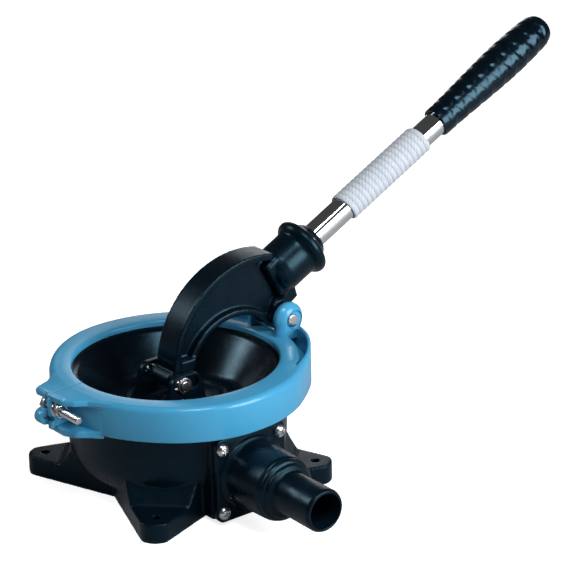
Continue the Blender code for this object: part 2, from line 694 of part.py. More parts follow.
def build():
    pump_body()
    clamp_ring()
    clamp_fasteners()
    diaphragm()

    plate_empty = make_empty("plate_slide", Matrix.Translation((0, 0, PLATE_TOP * MM)))
    for piece in diaphragm_plates():
        hang(piece, plate_empty)

    fulcrum_pin()
    x, z = PIVOT
    pivot_empty = make_empty("lever_pivot", Matrix.Translation((x * MM, 0, z * MM)))
    for piece in [pump_lever(), fulcrum_bush()] + clevis_pin():
        hang(piece, pivot_empty)
    handle_empty = make_empty("handle_slide", handle_place())
    for piece in handle():
        hang(piece, handle_empty)

    outlet, inlet = port_place(-1), port_place(1)
    outlet_port(outlet)
    inlet_port(inlet)
    for side_name, place, flap_side in (("outlet", outlet, 1), ("inlet", inlet, -1)):
        gasket(side_name + "_gasket", place)
        valve_seat(side_name + "_valve_seat", place, flap_side)
        hinge = hinge_empty(side_name + "_valve_hinge", place, FLAP_DEPTH[flap_side])
        hang(flap_valve(side_name + "_flap_valve", place, flap_side), hinge)
        port_screws(side_name, place)


build()
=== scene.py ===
"""The looks of the manual bilge pump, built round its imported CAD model.

The frame is the CAD model's: metres, origin in the middle of the base's underside, +Z up, the
handle towards +X and the outlet towards -Y.  Shapes below are in millimetres until MM turns them
into metres; the camera and the lights are placed in metres.
"""
import json
import math

import bmesh
import bpy
from mathutils import Matrix, Vector


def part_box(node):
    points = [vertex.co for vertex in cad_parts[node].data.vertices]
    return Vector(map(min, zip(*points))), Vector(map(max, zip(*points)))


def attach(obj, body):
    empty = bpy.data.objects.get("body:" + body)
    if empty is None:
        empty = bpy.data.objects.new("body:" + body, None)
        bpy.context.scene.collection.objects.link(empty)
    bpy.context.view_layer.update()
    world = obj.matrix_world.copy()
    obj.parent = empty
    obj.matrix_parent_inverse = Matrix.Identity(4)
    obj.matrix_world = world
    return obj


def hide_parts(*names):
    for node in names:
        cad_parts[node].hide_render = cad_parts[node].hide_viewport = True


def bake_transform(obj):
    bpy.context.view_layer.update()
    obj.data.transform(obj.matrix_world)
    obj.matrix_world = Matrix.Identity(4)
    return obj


MM = 0.001
GAP = 0.3
STILL = Matrix.Identity(4)

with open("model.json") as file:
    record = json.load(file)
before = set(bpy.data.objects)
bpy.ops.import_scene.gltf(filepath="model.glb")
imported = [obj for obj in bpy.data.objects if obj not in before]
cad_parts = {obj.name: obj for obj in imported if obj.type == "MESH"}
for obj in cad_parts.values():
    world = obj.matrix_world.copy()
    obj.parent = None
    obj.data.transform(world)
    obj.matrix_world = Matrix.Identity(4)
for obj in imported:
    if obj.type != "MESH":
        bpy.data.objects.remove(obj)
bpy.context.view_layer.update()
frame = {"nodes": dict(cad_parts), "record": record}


# ---------------------------------------------------------------------------------------------
# Sizes the CAD model has, read from it where a box gives them
# ---------------------------------------------------------------------------------------------

def span(node, axis):
    """A CAD node's lowest and highest coordinate along an axis, in millimetres."""
    low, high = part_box(node)
    return low[axis] / MM, high[axis] / MM


FLANGE_TOP = span("pump_body", 2)[1]
RING_OUTER = span("clamp_ring", 1)[1]
PIVOT = (sum(span("fulcrum_bush", 0)) / 2, sum(span("fulcrum_bush", 2)) / 2)
CLEVIS = (sum(span("clevis_pin", 0)) / 2, sum(span("clevis_pin", 2)) / 2)
CLEVIS_REACH = span("clevis_pin", 1)[1]
PLATE_BOTTOM = span("diaphragm_top_plate", 2)[0]
PLATE_RADIUS = span("diaphragm_top_plate", 0)[1]
OUTLET_REACH = -span("outlet_port", 1)[0]
INLET_REACH = span("inlet_port", 1)[1]
PORT_FACE = -span("outlet_port", 1)[1]
PORT_HEIGHT = sum(span("outlet_port", 2)) / 2
FLANGE_HALF = span("outlet_port", 0)[1]
FLANGE_HALF_HEIGHT = (span("outlet_port", 2)[1] - span("outlet_port", 2)[0]) / 2

BODY_FLANGE, BODY_NECK = 71.4, 66.2
BOWL_FLOOR, BOWL_WAIST = 36.0, 30.0
FOOT_TIP, FOOT_TIP_RADIUS, FOOT_WIDTH = 92.0, 8.0, 18.6
FOOT_HOLE_AT, FOOT_HOLE_RADIUS = 82.0, 2.8
STAR_NOTCH, STAR_HEIGHT, PAD_TOP = 48.0, 24.5, 12.0
PORT_BORE, PORT_FLANGE = 17.3, 4.2
SCREW_ACROSS, SCREW_UP = 20.4, 19.8
SCREW_HOLE_RADIUS = 2.3

RING_INNER, RING_WALL, RING_LIP_RADIUS = 61.5, 71.8, 68.2
RING_TOP, RING_BOTTOM, RING_LIP, RING_UNDERSIDE = 76.0, 54.6, 59.0, 72.3
RING_SLIM, RING_SWELL = 3.4, 4.2
RING_FILLET, FENCE_FILLET = 3.4, 1.2
FENCE_RISE, POCKET_DEPTH, POCKET_INNER = 5.5, 8.0, 73.4
SPLIT_Y, SPLIT_HALF = 5.0, 0.5
CLAMP_BOLT = (-82.7, 66.8)
CLAMP_BORE = 2.8
CLAMP_EYE = (-87.0, 61.2)

PIN_RADIUS = 3.0
ARM_OUTER_CENTRE, ARM_OUTER_RADIUS = (54.0, 68.3), 61.0
ARM_INNER_CENTRE, ARM_INNER_RADIUS = (40.3, 60.1), 33.3
SOCKET_AT = (97.0, 123.0)
HANDLE_SLOPE = 27.5
TUBE_RADIUS = 7.8
TUBE_START = -24.0
WINDING = (34.2, 107.0)
GRIP = (122.0, 225.5)

FLOOR_GLOW = 0.78
WORLD_LIGHT = 0.06
LIT_MIDDLE = Vector((0.03, -0.01, 0.09))


# ---------------------------------------------------------------------------------------------
# Mesh helpers
# ---------------------------------------------------------------------------------------------

def put(name, mesh, place=STILL):
    """A new object in the scene."""
    obj = bpy.data.objects.new(name, mesh)
    obj.matrix_world = place
    bpy.context.scene.collection.objects.link(obj)
    return obj


def from_bmesh(name, work, place=STILL):
    """Turns a bmesh into an object whose mesh is already in place."""
    bmesh.ops.recalc_face_normals(work, faces=work.faces)
    mesh = bpy.data.meshes.new(name)
    work.to_mesh(mesh)
    work.free()
    mesh.transform(place)
    return put(name, mesh)


def shade(obj, angle=32):
    """Smooth shading, with a sharp edge wherever faces meet at more than the angle."""
    obj.data.shade_smooth()
    obj.data.set_sharp_from_angle(angle=math.radians(angle))


def bake(obj):
    """Applies an object's modifiers."""
    bpy.context.view_layer.update()
    depsgraph = bpy.context.evaluated_depsgraph_get()
    mesh = bpy.data.meshes.new_from_object(obj.evaluated_get(depsgraph))
    obj.modifiers.clear()
    old = obj.data
    obj.data = mesh
    bpy.data.meshes.remove(old)
    return obj


def combine(obj, tool, operation):
    """Adds or takes away a tool solid, which is used up."""
    modifier = obj.modifiers.new("Combine", "BOOLEAN")
    modifier.operation = operation
    modifier.solver = "EXACT"
    modifier.object = tool
    bake(obj)
    mesh = tool.data
    bpy.data.objects.remove(tool)
    bpy.data.meshes.remove(mesh)
    return obj


def join(obj, *tools):
    for tool in tools:
        combine(obj, tool, "UNION")
    return obj


def cut(obj, *tools):
    for tool in tools:
        combine(obj, tool, "DIFFERENCE")
    return obj


def rounded_edges(obj, width, segments=3, angle=40):
    """Rounds every edge sharper than the angle."""
    modifier = obj.modifiers.new("Edges", "BEVEL")
    modifier.width = width * MM
    modifier.segments = segments
    modifier.limit_method = "ANGLE"
    modifier.angle_limit = math.radians(angle)
    modifier.harden_normals = False
    return bake(obj)


def moulded(obj, voxel, rounds):
    """Remeshes a solid and relaxes it, so that its pieces flow into each other like a moulding."""
    remesh = obj.modifiers.new("Remesh", "REMESH")
    remesh.mode = "VOXEL"
    remesh.voxel_size = voxel * MM
    relax = obj.modifiers.new("Relax", "SMOOTH")
    relax.factor = 0.5
    relax.iterations = rounds
    return bake(obj)


def arc(centre_x, centre_y, radius, start, end, steps):
    """Points on an arc, with angles in degrees."""
    points = []
    for i in range(steps + 1):
        angle = math.radians(start + (end - start) * i / steps)
        points.append((centre_x + radius * math.cos(angle), centre_y + radius * math.sin(angle)))
    return points


def circle(centre_x, centre_y, radius, steps=48):
    return arc(centre_x, centre_y, radius, 0, 360 - 360 / steps, steps - 1)


def rounded_rectangle(half_width, half_height, corner, steps=6):
    points = []
    for i, (x, y) in enumerate(((1, 1), (-1, 1), (-1, -1), (1, -1))):
        at_x, at_y = x * (half_width - corner), y * (half_height - corner)
        points += arc(at_x, at_y, corner, 90 * i, 90 * i + 90, steps)
    return points


def soften(points, closed=True, steps=4):
    """An outline with rounded corners: a point is (x, y) or (x, y, radius)."""
    count = len(points)
    made = []
    for i, point in enumerate(points):
        radius = point[2] if len(point) > 2 else 0
        if radius == 0 or (not closed and i in (0, count - 1)):
            made.append(point[:2])
            continue
        here = Vector(point[:2])
        before = Vector(points[i - 1][:2]) - here
        after = Vector(points[(i + 1) % count][:2]) - here
        half = before.angle(after) / 2
        reach = min(radius / math.tan(half), before.length * 0.49, after.length * 0.49)
        start, end = here + before.normalized() * reach, here + after.normalized() * reach
        for k in range(steps + 1):
            t = k / steps
            spot = start * (1 - t) ** 2 + here * 2 * t * (1 - t) + end * t ** 2
            made.append(tuple(spot))
    return made


def loft(name, sections, place=STILL, closed=False):
    """A skin over a row of outlines, closed at both ends or joined end to end."""
    work = bmesh.new()
    rows = [[work.verts.new(Vector(point) * MM) for point in section] for section in sections]
    pairs = list(zip(rows, rows[1:]))
    if closed:
        pairs.append((rows[-1], rows[0]))
    for one, two in pairs:
        for i in range(len(one)):
            k = (i + 1) % len(one)
            work.faces.new((one[i], one[k], two[k], two[i]))
    if not closed:
        work.faces.new(reversed(rows[0]))
        work.faces.new(rows[-1])
    return from_bmesh(name, work, place)


def turned(name, profile, steps=96, place=STILL):
    """A turned solid from (radius, height, corner radius) points that run down the outer side."""
    closed = profile[0][0] > 0
    points = soften(profile, closed)
    work = bmesh.new()
    rows = []
    for radius, height in points:
        if radius < 1e-6:
            rows.append([work.verts.new((0, 0, height * MM))])
            continue
        row = []
        for i in range(steps):
            angle = 2 * math.pi * i / steps
            row.append(work.verts.new((radius * math.cos(angle) * MM,
                                       radius * math.sin(angle) * MM, height * MM)))
        rows.append(row)
    pairs = list(zip(rows, rows[1:]))
    if closed:
        pairs.append((rows[-1], rows[0]))
    for one, two in pairs:
        for i in range(steps):
            k = (i + 1) % steps
            corners = [one[i % len(one)], one[k % len(one)], two[k % len(two)], two[i % len(two)]]
            unique = list(dict.fromkeys(corners))
            if len(unique) > 2:
                work.faces.new(unique)
    return from_bmesh(name, work, place)


def slab(name, outlines, low, high, place=STILL):
    """Flat outlines, the first one solid and the others holes, raised from low to high."""
    curve = bpy.data.curves.new(name, "CURVE")
    curve.dimensions = "2D"
    curve.fill_mode = "BOTH"
    curve.extrude = (high - low) / 2 * MM
    for outline in outlines:
        spline = curve.splines.new("POLY")
        spline.points.add(len(outline) - 1)
        for point, (x, y) in zip(spline.points, outline):
            point.co = (x * MM, y * MM, 0.0, 1.0)
        spline.use_cyclic_u = True
    guide = put(name, curve)
    bpy.context.view_layer.update()
    depsgraph = bpy.context.evaluated_depsgraph_get()
    mesh = bpy.data.meshes.new_from_object(guide.evaluated_get(depsgraph))
    bpy.data.objects.remove(guide)
    bpy.data.curves.remove(curve)
    work = bmesh.new()
    work.from_mesh(mesh)
    bpy.data.meshes.remove(mesh)
    bmesh.ops.remove_doubles(work, verts=work.verts, dist=0.00001)
    bmesh.ops.dissolve_limit(work, angle_limit=0.01, verts=work.verts, edges=work.edges)
    bmesh.ops.translate(work, verts=work.verts, vec=(0, 0, (low + high) / 2 * MM))
    return from_bmesh(name, work, place)


def upright(name, outlines, y_low, y_high, place=STILL):
    """Outlines in X and Z, standing in the lever's plane and thick along Y."""
    stand = Matrix.Rotation(math.radians(90), 4, "X")
    return slab(name, outlines, -y_high, -y_low, place @ stand)


def box(name, low, high, place=STILL):
    """A block between two opposite corners."""
    outline = [(low[0], low[1]), (high[0], low[1]), (high[0], high[1]), (low[0], high[1])]
    return slab(name, [outline], low[2], high[2], place)


def rod(name, start, end, radius, steps=48, place=STILL):
    """A round bar between two points."""
    start, end = Vector(start) * MM, Vector(end) * MM
    along = end - start
    turn = Vector((0, 0, 1)).rotation_difference(along).to_matrix().to_4x4()
    work = bmesh.new()
    bmesh.ops.create_cone(work, cap_ends=True, segments=steps, radius1=radius * MM,
                          radius2=radius * MM, depth=along.length,
                          matrix=Matrix.Translation((start + end) / 2) @ turn)
    return from_bmesh(name, work, place)


def smoothstep(value):
    """0 below 0, 1 above 1, and an S curve between."""
    value = min(max(value, 0.0), 1.0)
    return value * value * (3 - 2 * value)


def catmull(points, steps=6):
    """A smooth line through points."""
    made = []
    for i in range(len(points) - 1):
        p0 = Vector(points[max(i - 1, 0)])
        p1, p2 = Vector(points[i]), Vector(points[i + 1])
        p3 = Vector(points[min(i + 2, len(points) - 1)])
        for k in range(steps):
            t = k / steps
            made.append(tuple(0.5 * (2 * p1 + (p2 - p0) * t
                                     + (2 * p0 - 5 * p1 + 4 * p2 - p3) * t * t
                                     + (3 * p1 - p0 - 3 * p2 + p3) * t ** 3)))
    made.append(tuple(points[-1]))
    return made


# ---------------------------------------------------------------------------------------------
# Materials
# ---------------------------------------------------------------------------------------------

class Nodes:
    """A small writer of node trees."""

    def __init__(self, name):
        self.material = bpy.data.materials.new(name)
        self.material.use_nodes = True
        self.tree = self.material.node_tree
        self.shader = self.tree.nodes["Principled BSDF"]

    def add(self, kind, **inputs):
        node = self.tree.nodes.new(kind)
        for key, value in inputs.items():
            node.inputs[key.replace("_", " ")].default_value = value
        return node

    def link(self, source, target):
        self.tree.links.new(source, target)

    def noise(self, scale, detail, place):
        node = self.add("ShaderNodeTexNoise", Scale=scale, Detail=detail)
        self.link(place, node.inputs["Vector"])
        return node.outputs["Fac"]

    def bump(self, strength, depth, height, normal=None):
        """Relief on top of another normal; depth is in metres."""
        node = self.add("ShaderNodeBump", Strength=strength, Distance=depth)
        self.link(height, node.inputs["Height"])
        if normal:
            self.link(normal, node.inputs["Normal"])
        return node.outputs["Normal"]

    def spread(self, source, low, high, start=0.3, end=0.7):
        """Stretches the range from start to end onto the range from low to high."""
        node = self.add("ShaderNodeMapRange")
        node.inputs["From Min"].default_value = start
        node.inputs["From Max"].default_value = end
        node.inputs["To Min"].default_value = low
        node.inputs["To Max"].default_value = high
        self.link(source, node.inputs["Value"])
        return node.outputs["Result"]

    def mix(self, factor, one, two):
        """Mixes two colours, each a constant or a socket."""
        node = self.tree.nodes.new("ShaderNodeMix")
        node.data_type = "RGBA"
        self.link(factor, node.inputs["Factor"])
        colour_a, colour_b, mixed = node.inputs[6], node.inputs[7], node.outputs[2]
        for socket, value in ((colour_a, one), (colour_b, two)):
            if isinstance(value, tuple):
                socket.default_value = (*value, 1.0)
            else:
                self.link(value, socket)
        return mixed


def finish_material(name, colour, shade_colour, worn_colour, roughness, spread, grain, peel,
                    metallic=0.0, edge=0.0006, wear=0.25, specular=0.5, tint=(1.0, 1.0, 1.0)):
    """Moulded or metal surface: cloudy colour, worn edges, uneven gloss, grain and soft waves.

    Edge is the radius in metres that sharp edges seem to have.
    """
    n = Nodes(name)
    place = n.add("ShaderNodeTexCoord").outputs["Object"]
    clouds = n.noise(38.0, 4.0, place)
    base = n.mix(n.spread(clouds, 0.0, 1.0), colour, shade_colour)

    pointed = n.add("ShaderNodeNewGeometry").outputs["Pointiness"]
    scuff = n.noise(260.0, 3.0, place)
    edges = n.spread(pointed, 0.0, wear, 0.53, 0.62)
    worn = n.tree.nodes.new("ShaderNodeMath")
    worn.operation = "MULTIPLY"
    n.link(edges, worn.inputs[0])
    n.link(n.spread(scuff, 0.2, 1.0), worn.inputs[1])
    n.link(n.mix(worn.outputs[0], base, worn_colour), n.shader.inputs["Base Color"])

    gloss = n.noise(90.0, 5.0, place)
    n.link(n.spread(gloss, roughness - spread, roughness + spread), n.shader.inputs["Roughness"])
    n.shader.inputs["Metallic"].default_value = metallic
    n.shader.inputs["Specular Tint"].default_value = (*tint, 1.0)
    n.shader.inputs["Specular IOR Level"].default_value = specular

    soft = n.add("ShaderNodeBevel", Radius=edge)
    soft.samples = 4
    waves = n.bump(peel, 0.0006, n.noise(75.0, 2.0, place), soft.outputs["Normal"])
    fine = n.bump(grain, 0.00012, n.noise(1900.0, 3.0, place), waves)
    n.link(fine, n.shader.inputs["Normal"])
    return n.material


def cord_material(name, colour, shade_colour, groove_shade_colour):
    """Twisted cord: strands run slantwise along each turn, with painted shade darkening the
    grooves between them.
    """
    n = Nodes(name)
    place = n.add("ShaderNodeTexCoord")
    clouds = n.noise(120.0, 4.0, place.outputs["Object"])
    base = n.mix(n.spread(clouds, 0.0, 1.0), colour, shade_colour)
    strands = n.add("ShaderNodeTexWave", Scale=1.0, Distortion=0.6, Detail=2.0)
    strands.bands_direction = "DIAGONAL"
    n.link(place.outputs["UV"], strands.inputs["Vector"])
    # Painted shade: the colour darkens in the grooves between the strands.
    groove = n.spread(strands.outputs["Fac"], 0.25, 0.0, 0.0, 0.5)
    n.link(n.mix(groove, base, groove_shade_colour), n.shader.inputs["Base Color"])
    n.link(n.spread(clouds, 0.55, 0.75), n.shader.inputs["Roughness"])
    twist = n.bump(0.8, 0.0002, strands.outputs["Fac"])
    fuzz = n.bump(0.3, 0.0001, n.noise(3000.0, 4.0, place.outputs["Object"]), twist)
    n.link(fuzz, n.shader.inputs["Normal"])
    n.shader.inputs["Sheen Weight"].default_value = 0.3
    return n.material


COOL, DEEP = (0.66, 0.86, 1.0), (0.36, 0.74, 1.0)
FINISHES = {
    "black_plastic": dict(
        colour=(0.0008, 0.0040, 0.0082), shade_colour=(0.0016, 0.0056, 0.0105),
        worn_colour=(0.012, 0.024, 0.036), roughness=0.29, spread=0.06, grain=0.26, peel=0.08,
        edge=0.0008, wear=0.04, specular=0.26, tint=DEEP),
    "blue_plastic": dict(
        colour=(0.052, 0.305, 0.530), shade_colour=(0.062, 0.325, 0.555),
        worn_colour=(0.14, 0.43, 0.66), roughness=0.23, spread=0.04, grain=0.08, peel=0.04,
        edge=0.0009, wear=0.05, tint=COOL),
    "black_rubber": dict(
        colour=(0.0004, 0.0014, 0.0036), shade_colour=(0.0008, 0.0024, 0.0052),
        worn_colour=(0.006, 0.012, 0.018), roughness=0.25, spread=0.05, grain=0.30, peel=0.12,
        edge=0.0005, wear=0.1, specular=0.34, tint=DEEP),
    "grip_vinyl": dict(
        colour=(0.0006, 0.0026, 0.0060), shade_colour=(0.0012, 0.0040, 0.0082),
        worn_colour=(0.008, 0.015, 0.024), roughness=0.22, spread=0.05, grain=0.12, peel=0.10,
        edge=0.0004, specular=0.4, tint=DEEP),
    "stainless": dict(
        colour=(0.70, 0.71, 0.73), shade_colour=(0.60, 0.61, 0.64),
        worn_colour=(0.85, 0.86, 0.88), roughness=0.24, spread=0.06, grain=0.25, peel=0.05,
        metallic=1.0, edge=0.0003),
    "polished_tube": dict(
        colour=(0.82, 0.83, 0.85), shade_colour=(0.74, 0.76, 0.79),
        worn_colour=(0.9, 0.9, 0.92), roughness=0.06, spread=0.02, grain=0.03, peel=0.0,
        metallic=1.0, edge=0.0003),
    "nylon_bush": dict(
        colour=(0.74, 0.71, 0.61), shade_colour=(0.66, 0.62, 0.50),
        worn_colour=(0.82, 0.80, 0.72), roughness=0.48, spread=0.06, grain=0.3, peel=0.1,
        edge=0.0004),
}
MATERIALS = {name: finish_material(name, **finish) for name, finish in FINISHES.items()}
MATERIALS["white_cord"] = cord_material("white_cord", (0.52, 0.57, 0.63), (0.45, 0.50, 0.57),
                                        (0.30, 0.34, 0.39))


def finished(obj, kind, body, *nodes, angle=32):
    """Gives a piece its shading, material, slot and body, and lets it stand for CAD nodes."""
    shade(obj, angle)
    obj.data.materials.clear()
    obj.data.materials.append(MATERIALS[kind])
    if body:
        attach(obj, body)
    if nodes:
        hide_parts(*nodes)


# ---------------------------------------------------------------------------------------------
# Body
# ---------------------------------------------------------------------------------------------

def screw_places():
    """Where a port's four screws sit, across and up its flange."""
    return [(across, up) for across in (-SCREW_ACROSS, SCREW_ACROSS)
            for up in (-SCREW_UP, SCREW_UP)]


def star_outline():
    """The base seen from above: four rounded feet with straight sides to the notches."""
    points = []
    centre, shift = FOOT_TIP - FOOT_TIP_RADIUS, FOOT_WIDTH / 2 - FOOT_TIP_RADIUS
    notch = STAR_NOTCH * math.cos(math.radians(45))
    for foot in range(4):
        turn = math.radians(45 + 90 * foot)
        outline = arc(centre, -shift, FOOT_TIP_RADIUS, -65, 0, 10)
        outline += arc(centre, shift, FOOT_TIP_RADIUS, 0, 65, 10) + [(notch, notch)]
        for along, across in outline:
            points.append((along * math.cos(turn) - across * math.sin(turn),
                           along * math.sin(turn) + across * math.cos(turn)))
    return points


def foot_turn(foot):
    """A foot's own frame, with X pointing out along the foot."""
    return Matrix.Rotation(math.radians(45 + 90 * foot), 4, "Z")


def port_place(side):
    """A port's frame: X across, Y up, Z outwards from the back of its flange."""
    face_out = Matrix.Rotation(math.radians(90), 4, "X")
    half_turn = Matrix.Rotation(math.radians(0 if side < 0 else 180), 4, "Z")
    return Matrix.Translation((0, side * PORT_FACE * MM, PORT_HEIGHT * MM)) @ half_turn @ face_out


def bowl_curve(across, depth):
    """A quarter of an ellipse, from the bowl's side down to its flat bottom."""
    return [(BOWL_FLOOR + across * math.cos(math.radians(a)),
             BOWL_WAIST - depth * math.sin(math.radians(a))) for a in range(0, 91, 9)]


def pump_body():
    """The bowl on its star base, moulded in one, then given its rim, its hollow and its bores."""
    outside = [(0, 62), (67.4, 62), (67.4, 55), (65.8, 53)] + bowl_curve(29, 24)
    outside += [(BOWL_FLOOR, 1), (0, 1)]
    body = turned("pump_body_shell", outside, 144)
    star = slab("base_star", [star_outline()], 0, STAR_HEIGHT)
    slope = [(61, STAR_HEIGHT), (69.3, PAD_TOP), (110, PAD_TOP), (110, 40), (61, 40)]
    for foot in range(4):
        cut(star, upright("foot_slope", [slope], -40, 40, foot_turn(foot)))
    chests = slab("chests", [rounded_rectangle(24.0, 66.8, 2.0, 3)], 2, 54)
    join(body, star, chests)
    moulded(body, 0.85, 7)

    rim = [(PORT_FACE - 20, FLANGE_TOP), (BODY_FLANGE, FLANGE_TOP, 0.8),
           (BODY_FLANGE, 59.6, 0.8), (BODY_NECK, 59.6), (BODY_NECK, 56), (PORT_FACE - 20, 56)]
    join(body, turned("pump_body_rim", rim, 144))
    cavity = [(0, FLANGE_TOP + 2), (61, FLANGE_TOP + 2)] + bowl_curve(25, 22) + [(0, 8)]
    cut(body, turned("cavity", cavity, 144))
    for side in (-1, 1):
        place = port_place(side)
        cut(body, rod("chest_bore", (0, 0, -26), (0, 0, 4), PORT_BORE, 48, place))
        for across, up in screw_places():
            cut(body, rod("screw_hole", (across, up, -12), (across, up, 4), SCREW_HOLE_RADIUS,
                          16, place))
    for foot in range(4):
        cut(body, rod("foot_hole", (FOOT_HOLE_AT, 0, -2), (FOOT_HOLE_AT, 0, 20),
                      FOOT_HOLE_RADIUS, 28, foot_turn(foot)))
    finished(body, "black_plastic", "root", "pump_body")


# ---------------------------------------------------------------------------------------------
# Clamp ring
# ---------------------------------------------------------------------------------------------

def ring_section(degrees):
    """The ring's outline at an angle from the fulcrum.

    The wall slims towards the split.  Beside the fulcrum it grows into a raised fence with a
    pocket behind it.
    """
    off_split = 180 - abs(degrees)
    share = smoothstep((52 - abs(degrees)) / 32)
    pocket = smoothstep((50 - abs(degrees)) / 13)
    slim = smoothstep((85 - off_split) / 50)
    outer = RING_OUTER - RING_SLIM * slim + RING_SWELL * share
    rise = FENCE_RISE * share
    top = RING_TOP + rise
    fillet = RING_FILLET - (RING_FILLET - FENCE_FILLET) * max(share, pocket)
    fence = outer - fillet - 1.0
    start = fence - 2.2 - pocket * (fence - 2.2 - POCKET_INNER)
    bottom = RING_TOP - POCKET_DEPTH * pocket
    points = [(RING_INNER, RING_UNDERSIDE), (RING_INNER, 74.7), (61.75, 75.45), (62.2, 75.85),
              (62.9, RING_TOP), (start - 0.8, RING_TOP), (start - 0.2, RING_TOP - 0.25 * pocket),
              (start, RING_TOP - 0.9 * pocket), (start + 0.4, bottom), (fence - 0.5, bottom),
              (fence - 0.1, RING_TOP + 0.85 * rise), (fence + 0.5, top)]
    points += arc(outer - fillet, top - fillet, fillet, 90, 0, 8)
    points += [(outer, RING_BOTTOM + 1.2), (outer - 0.35, RING_BOTTOM + 0.35),
               (outer - 1.2, RING_BOTTOM), (RING_LIP_RADIUS + 0.6, RING_BOTTOM),
               (RING_LIP_RADIUS, RING_BOTTOM + 0.6), (RING_LIP_RADIUS, RING_LIP),
               (RING_WALL, RING_LIP + 0.3), (RING_WALL, RING_UNDERSIDE)]
    angle = math.radians(degrees)
    return [(r * math.cos(angle), r * math.sin(angle), z) for r, z in points]


def lug_section(side, across, radius):
    """A fulcrum lug's round-headed outline at a distance from the lever's plane."""
    x, z = PIVOT
    foot = RING_TOP - 2
    outline = arc(x, z, radius, -20, 200, 28) + [(x - radius, foot), (x + radius * 0.6, foot)]
    return [(px, side * across, pz) for px, pz in outline]


def fulcrum_lugs(ring):
    """Two domed lugs with a round seat for the pin's head and clip."""
    x, z = PIVOT
    dome = [(11.0, 9.7), (11.25, 10.1), (11.8, 10.3), (13.5, 10.3), (14.2, 10.1), (15.0, 9.6),
            (15.7, 9.0), (16.4, 8.3), (17.0, 7.5), (17.5, 6.7), (17.85, 5.9), (18.0, 5.2)]
    for side in (-1, 1):
        join(ring, loft("fulcrum_lug", [lug_section(side, a, r) for a, r in dome]))
        low, high = sorted((side * 16.4, side * 21.0))
        cut(ring, rod("pin_seat", (x + 1.6, low, z), (x + 1.6, high, z), 6.0, 48))
    cut(ring, rod("pin_bore", (x, -30, z), (x, 30, z), PIN_RADIUS + GAP, 32),
        box("lever_gap", (62.5, -11.0, RING_TOP), (95, 11.0, 96)))


def clamp_tabs(ring):
    """The joint opposite the fulcrum: a top tab, a shelf, two ears and an eye beside them."""
    tab = [(-66, 30), (-70.5, 26.2, 6), (-75.5, 21.5, 8), (-84.8, 17.8, 2.5), (-87.4, 15.0, 2.0),
           (-85.4, -9.8, 0.8), (-81.2, -15.2, 0.8), (-74.6, -19.6, 2.0), (-71.0, -25.0, 5),
           (-66, -32)]
    top_tab = rounded_edges(slab("top_tab", [soften(tab)], 72.4, RING_TOP), 0.7)
    lip = rounded_edges(rod("tab_lip", (-86.2, 15.2, 75.3), (-84.3, -9.6, 75.3), 1.7, 32), 0.7)
    shelf = [(-68, 25), (-75, 19, 6), (-82, 14, 3), (-84.4, 4, 3), (-84.4, -7, 3), (-81, -14, 4),
             (-75.5, -18.5, 5), (-69, -26)]
    low_tab = slab("low_tab", [soften(shelf)], RING_BOTTOM - 1.8, RING_BOTTOM + 2.4)
    join(ring, top_tab, lip, rounded_edges(low_tab, 0.5))
    ears = ((-87.2, 0.8, SPLIT_Y - 0.6), (-84.9, SPLIT_Y + 0.6, SPLIT_Y + 4.2))
    for reach, low, high in ears:
        join(ring, rounded_edges(box("clamp_ear", (reach, low, 54.8), (-73.0, high, 74)), 0.6))
    eye = upright("clamp_eye", [circle(*CLAMP_EYE, 4.7)], SPLIT_Y + 0.6, 12.0)
    join(ring, rounded_edges(eye, 0.7))
    x, z = CLAMP_BOLT
    eye_x, eye_z = CLAMP_EYE[0] + 0.2, CLAMP_EYE[1]
    cut(ring, box("split", (-100, SPLIT_Y - SPLIT_HALF, 50), (-58, SPLIT_Y + SPLIT_HALF, 80)),
        rod("clamp_bore", (x, -6, z), (x, 20, z), CLAMP_BORE, 32),
        rod("eye_bore", (eye_x, -1, eye_z), (eye_x, 20, eye_z), 1.9, 28))


def clamp_ring():
    """The split ring, cleared inside for the body's flange and the diaphragm."""
    ring = loft("clamp_ring_body", [ring_section(d) for d in range(-180, 180, 2)], closed=True)
    fulcrum_lugs(ring)
    clamp_tabs(ring)
    below = RING_BOTTOM - 4
    inside = [(0, RING_UNDERSIDE), (RING_WALL, RING_UNDERSIDE), (RING_WALL, RING_LIP + 0.3),
              (RING_LIP_RADIUS, RING_LIP), (RING_LIP_RADIUS, below), (0, below)]
    cut(ring, turned("ring_inside", inside, 180))
    finished(ring, "blue_plastic", "root", "clamp_ring")


def hexagon(centre_x, centre_z, radius, hole=None):
    """A hexagon's outline, with a round hole if one is given."""
    outlines = [circle(centre_x, centre_z, radius, 6)]
    if hole:
        outlines.append(circle(centre_x, centre_z, hole, 32))
    return outlines


def across_lever(x, z):
    """The frame of a piece that is turned about a line across the lever."""
    return Matrix.Translation((x * MM, 0, z * MM)) @ Matrix.Rotation(math.radians(90), 4, "X")


def clamp_fasteners():
    """The bolt across the split, with its thread, nut and washer."""
    x, z = CLAMP_BOLT
    pitch, thread_top, thread_count = 0.7, 21.2, 34
    threads = [(0, 22.0), (1.9, 22.0, 0.3), (2.4, 21.4)]
    for i in range(thread_count):
        height = thread_top - pitch * i
        threads += [(2.5, height), (2.2, height - pitch / 2)]
    threads += [(2.4, -9.5), (0, -9.5)]
    bolt = turned("clamp_bolt_threaded", threads, 32, across_lever(x, z))
    join(bolt, rounded_edges(upright("bolt_head", hexagon(x, z, 4.4), 9.5, 13.2), 0.3, 2))
    finished(bolt, "stainless", "root", "clamp_bolt")
    washer = upright("clamp_washer_ring", [circle(x, z, 4.7), circle(x, z, CLAMP_BORE, 32)],
                     -0.5, 0.5)
    finished(rounded_edges(washer, 0.15, 2), "stainless", "root", "clamp_washer")
    nut = upright("clamp_nut_hex", hexagon(x, z, 4.5, CLAMP_BORE), -4.8, -0.8)
    finished(rounded_edges(nut, 0.3, 2), "stainless", "root", "clamp_nut")


